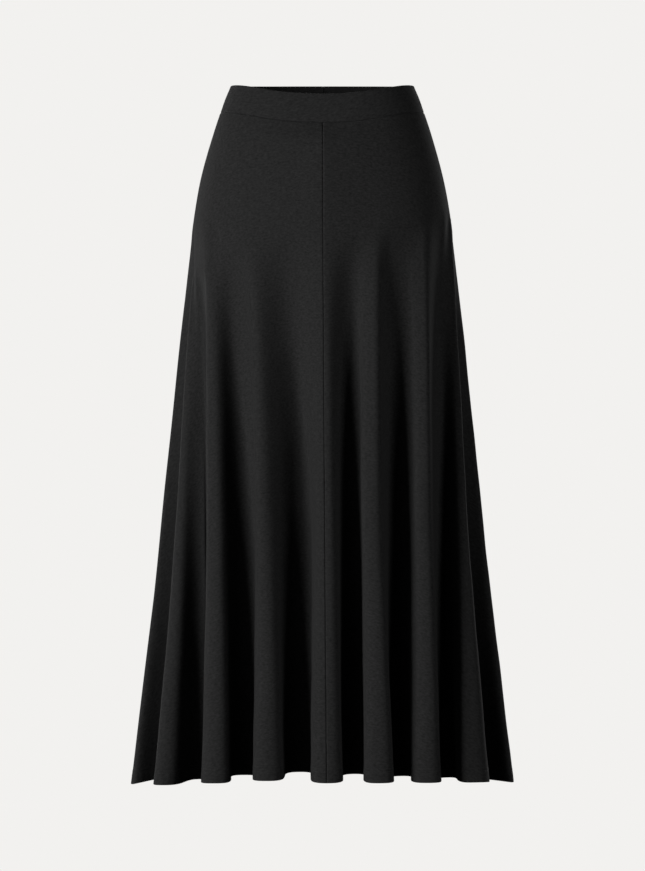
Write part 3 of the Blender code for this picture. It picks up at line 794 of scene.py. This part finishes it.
# %% The node group
def stitch_group():
    """Lay pieces of thread along a path whose points know which way the cloth faces."""
    tree = bpy.data.node_groups.new("row_of_stitches", "GeometryNodeTree")
    kinds = {"Path": "Geometry", "Pitch": "Float", "Stitch Length": "Float", "Reach": "Float",
             "Lift": "Float", "Thread Radius": "Float", "Waver": "Float", "Seed": "Int",
             "Thread": "Material"}
    for name, kind in kinds.items():
        tree.interface.new_socket(name, in_out="INPUT", socket_type="NodeSocket" + kind)
    tree.interface.new_socket("Stitches", in_out="OUTPUT", socket_type="NodeSocketGeometry")
    source = tree.nodes.new("NodeGroupInput")
    given = {name: Wire(tree, source.outputs[name]) for name in kinds}

    # One stitch: an arch of thread, whose ends dip into the cloth. Its middle handle is three
    # times as far out as the arch then reaches.
    half, side, lift = given["Stitch Length"] / 2, given["Reach"] / 2, given["Lift"]
    start, middle, end = (add(tree, "ShaderNodeCombineXYZ", None, dict(enumerate(corner)))
                          for corner in ((half * -1, side * -1, lift * -1),
                                         (0.0, side * 3, lift * 3),
                                         (half, side * -1, lift * -1)))
    arch = add(tree, "GeometryNodeCurveQuadraticBezier", None,
               {"Resolution": 6, "Start": start, "Middle": middle, "End": end})
    ring = add(tree, "GeometryNodeCurvePrimitiveCircle", {"mode": "RADIUS"},
               {"Resolution": 5, "Radius": given["Thread Radius"]})
    stitch = add(tree, "GeometryNodeCurveToMesh", None,
                 {"Curve": arch, "Profile Curve": ring, "Fill Caps": True})
    stitch = add(tree, "GeometryNodeSetShadeSmooth", None, {0: stitch})

    # Its places: even steps along the path, turned to the cloth and a little askew.
    route = add(tree, "GeometryNodeMeshToCurve", None, {"Mesh": given["Path"]})
    steps = add(tree, "GeometryNodeResampleCurve", {"mode": "LENGTH"},
                {"Curve": route, "Length": given["Pitch"]})
    outward = add(tree, "GeometryNodeInputNamedAttribute", {"data_type": "FLOAT_VECTOR"},
                  {"Name": "outward"})
    upright = add(tree, "FunctionNodeAlignRotationToVector", {"axis": "Z"}, {"Vector": outward})
    laid = add(tree, "FunctionNodeAlignRotationToVector", {"axis": "X", "pivot_axis": "Z"},
               {"Rotation": upright, "Vector": add(tree, "GeometryNodeInputTangent")})
    waver = add(tree, "FunctionNodeRandomValue", {"data_type": "FLOAT"},
                {2: given["Waver"] * -1, 3: given["Waver"], "Seed": given["Seed"]}, 1)
    askew = add(tree, "FunctionNodeAxisAngleToRotation", None, {"Axis": (0, 0, 1), "Angle": waver})
    turned = add(tree, "FunctionNodeRotateRotation", {"rotation_space": "LOCAL"},
                 {"Rotation": laid, "Rotate By": askew})
    placed = add(tree, "GeometryNodeInstanceOnPoints", None,
                 {"Points": steps, "Instance": stitch, "Rotation": turned})
    real = add(tree, "GeometryNodeRealizeInstances", None, {0: placed})
    sewn = add(tree, "GeometryNodeSetMaterial", None,
               {"Geometry": real, "Material": given["Thread"]})
    tree.links.new(sewn.socket, tree.nodes.new("NodeGroupOutput").inputs[0])
    return tree


row_of_stitches = stitch_group()


# %% Sewing along a path
def sew(name, rows, sizes):
    """Stitches along rows of points, as one plain mesh. Each row is points and facings."""
    path = bpy.data.meshes.new(name + "_path")
    points = np.concatenate([row[0] for row in rows])
    outward = np.concatenate([row[1] for row in rows])
    starts = np.cumsum([0] + [len(row[0]) for row in rows[:-1]])
    edges = [(start + step, start + step + 1)
             for start, row in zip(starts, rows) for step in range(len(row[0]) - 1)]
    path.from_pydata(points.tolist(), edges, [])
    layer = path.attributes.new("outward", "FLOAT_VECTOR", "POINT")
    layer.data.foreach_set("vector", outward.astype(np.float32).ravel())
    carrier = bpy.data.objects.new(name + "_path", path)
    bpy.context.scene.collection.objects.link(carrier)
    modifier = carrier.modifiers.new("stitches", "NODES")
    modifier.node_group = row_of_stitches
    for item in row_of_stitches.interface.items_tree:
        if item.in_out == "INPUT" and item.name in sizes:
            modifier[item.identifier] = sizes[item.name]
    sewn = carrier.evaluated_get(bpy.context.evaluated_depsgraph_get())
    mesh = bpy.data.meshes.new_from_object(sewn)
    bpy.data.objects.remove(carrier)
    mesh.name = name
    piece = bpy.data.objects.new(name, mesh)
    bpy.context.scene.collection.objects.link(piece)
    print(f"{name}: {len(mesh.polygons)} faces")
    return piece


# %% Two rows outside and the loops inside
OUTSIDE = {"Pitch": 0.0030, "Stitch Length": 0.0025, "Reach": 0.0, "Lift": 0.00016,
           "Thread Radius": 0.00016, "Waver": 0.06, "Thread": thread}
INSIDE = {"Pitch": 0.0030, "Stitch Length": 0.0030, "Reach": STITCH_ROWS[1] - STITCH_ROWS[0],
          "Lift": 0.00010, "Thread Radius": 0.00018, "Waver": 0.04, "Thread": thread}
END_COLUMNS = 5       # the columns nearest a seam, which its allowance covers
LOOP_ROW = 17.5       # millimetres above the edge, between the rows


def hem_row(grid, facing, above_edge):
    """One row of points at a height above the hem's edge, with the way they face."""
    row = len(panel_depths) - len(NEAR_HEM) + NEAR_HEM.index(above_edge)
    inner = slice(END_COLUMNS, -END_COLUMNS)
    return grid[row, inner], facing[row, inner]


hem_pieces = {}
for side, (outer, inner, facing), seed in (("front_right", right_faces, 3),
                                           ("front_left", left_faces, 8),
                                           ("back", back_faces, 14)):
    rows = [hem_row(outer, facing, 1000 * row) for row in STITCH_ROWS]
    loops = [hem_row(inner, -facing, LOOP_ROW)]
    hem_pieces[side] = [sew(f"hem_stitches_{side}", rows, {**OUTSIDE, "Seed": seed}),
                        sew(f"hem_loops_{side}", loops, {**INSIDE, "Seed": seed + 1})]

# %% [markdown]
# ## Light, floor and camera
#
# One large soft light at the wearer's right gives the folds their bright sides, and a weak one
# opposite keeps the far sides from going black. A third, higher and weaker still, reaches the
# hips. The other three stand behind and pick out the edges and the back. The floor is pale and
# plain. The long lens looks level from eight metres away, so the picture hardly narrows with
# distance.

# %% Soft lights round the skirt
LIT_POINT = Vector((0.0, 0.0, -0.45))
LIGHT_DISTANCE = 2.8
LIGHT_SIZE = 1.2
#  name, azimuth from straight ahead towards +X, elevation, power in watts
LIGHTS = (
    ("key", -50, 5, 64),
    ("high", -25, 35, 3),
    ("fill", 58, 5, 16),
    ("rim_right", -130, 5, 18),
    ("rim_left", 140, 5, 18),
    ("behind", 180, 30, 28),
)
for name, azimuth, elevation, power in LIGHTS:
    lamp = bpy.data.lights.new(name, "AREA")
    lamp.energy = power
    lamp.size = LIGHT_SIZE
    light = bpy.data.objects.new(name, lamp)
    turn, tilt = math.radians(azimuth), math.radians(elevation)
    level = math.cos(tilt)
    away = Vector((math.sin(turn) * level, -math.cos(turn) * level, math.sin(tilt)))
    light.location = LIT_POINT + away * LIGHT_DISTANCE
    light.rotation_euler = away.to_track_quat("Z", "Y").to_euler()
    light.visible_camera = False
    bpy.context.scene.collection.objects.link(light)

# %% The pale surroundings
PALE = (0.8880, 0.8796, 0.8632, 1.0)
SURROUND_LIGHT = 0.01
world = bpy.data.worlds.new("pale_studio")
world.use_nodes = True
bpy.context.scene.world = world
tree = world.node_tree
seen = add(tree, "ShaderNodeBackground", None, {"Color": PALE, "Strength": 1.0})
lit = add(tree, "ShaderNodeBackground", None, {"Color": (1, 1, 1, 1), "Strength": SURROUND_LIGHT})
straight = add(tree, "ShaderNodeLightPath", output="Is Camera Ray")
mixed = add(tree, "ShaderNodeMixShader", None, {0: straight, 1: lit, 2: seen})
tree.links.new(mixed.socket, tree.nodes["World Output"].inputs["Surface"])
bpy.context.scene.view_settings.view_transform = "Standard"

# %% The floor
FLOOR_HEIGHT = -1.3
FLOOR_RADIUS = 2.9     # it ends before the level camera would see it
FLOOR_PAINT = (0.42, 0.415, 0.41, 1.0)
FLOOR_ROUGHNESS = 0.9
FLOOR_GLOW = 0.62      # keeps it pale between the lights
floor_material = bpy.data.materials.new("pale_floor")
floor_material.use_nodes = True
floor_shader = floor_material.node_tree.nodes["Principled BSDF"]
floor_shader.inputs["Base Color"].default_value = FLOOR_PAINT
floor_shader.inputs["Roughness"].default_value = FLOOR_ROUGHNESS
floor_shader.inputs["Emission Color"].default_value = PALE
floor_shader.inputs["Emission Strength"].default_value = FLOOR_GLOW
bpy.ops.mesh.primitive_circle_add(vertices=128, radius=FLOOR_RADIUS, fill_type="NGON",
                                  location=(0, 0, FLOOR_HEIGHT))
floor = bpy.context.active_object
floor.name = "floor"
floor.data.materials.append(floor_material)
floor.visible_diffuse = False     # it throws no light up under the skirt
floor.visible_glossy = False

# %% The camera
CAMERA_DISTANCE = 8.0
CAMERA_ACROSS = 0.00034      # the skirt hangs a quarter of a pixel off the picture's middle
CAMERA_HEIGHT = -0.4751      # level with the middle of the skirt
PIXELS_PER_METRE = 735.0     # at the middle of the skirt
PICTURE_HEIGHT = 871
SENSOR = 36.0
camera = bpy.data.objects.new("camera", bpy.data.cameras.new("camera"))
camera.data.sensor_width = SENSOR
camera.data.lens = PIXELS_PER_METRE * CAMERA_DISTANCE / PICTURE_HEIGHT * SENSOR
camera.location = (CAMERA_ACROSS, -CAMERA_DISTANCE, CAMERA_HEIGHT)
camera.rotation_euler = (math.radians(90), 0, 0)
bpy.context.scene.collection.objects.link(camera)
bpy.context.scene.camera = camera

# %% [markdown]
# ## Joining the frame
#
# Every piece rides on the skirt's one body and stands for the wall that it replaces. Each
# sheet says what it was cut to.

# %% Ride, replace and declare
for piece, node, side in ((right_front, "front_panel_right", "front_right"),
                          (left_front, "front_panel_left", "front_left"),
                          (back, "back_panel", "back")):
    for part in [piece] + hem_pieces[side]:
        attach(part, "root")
    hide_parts(node)
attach(band, "root")
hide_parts("waistband")
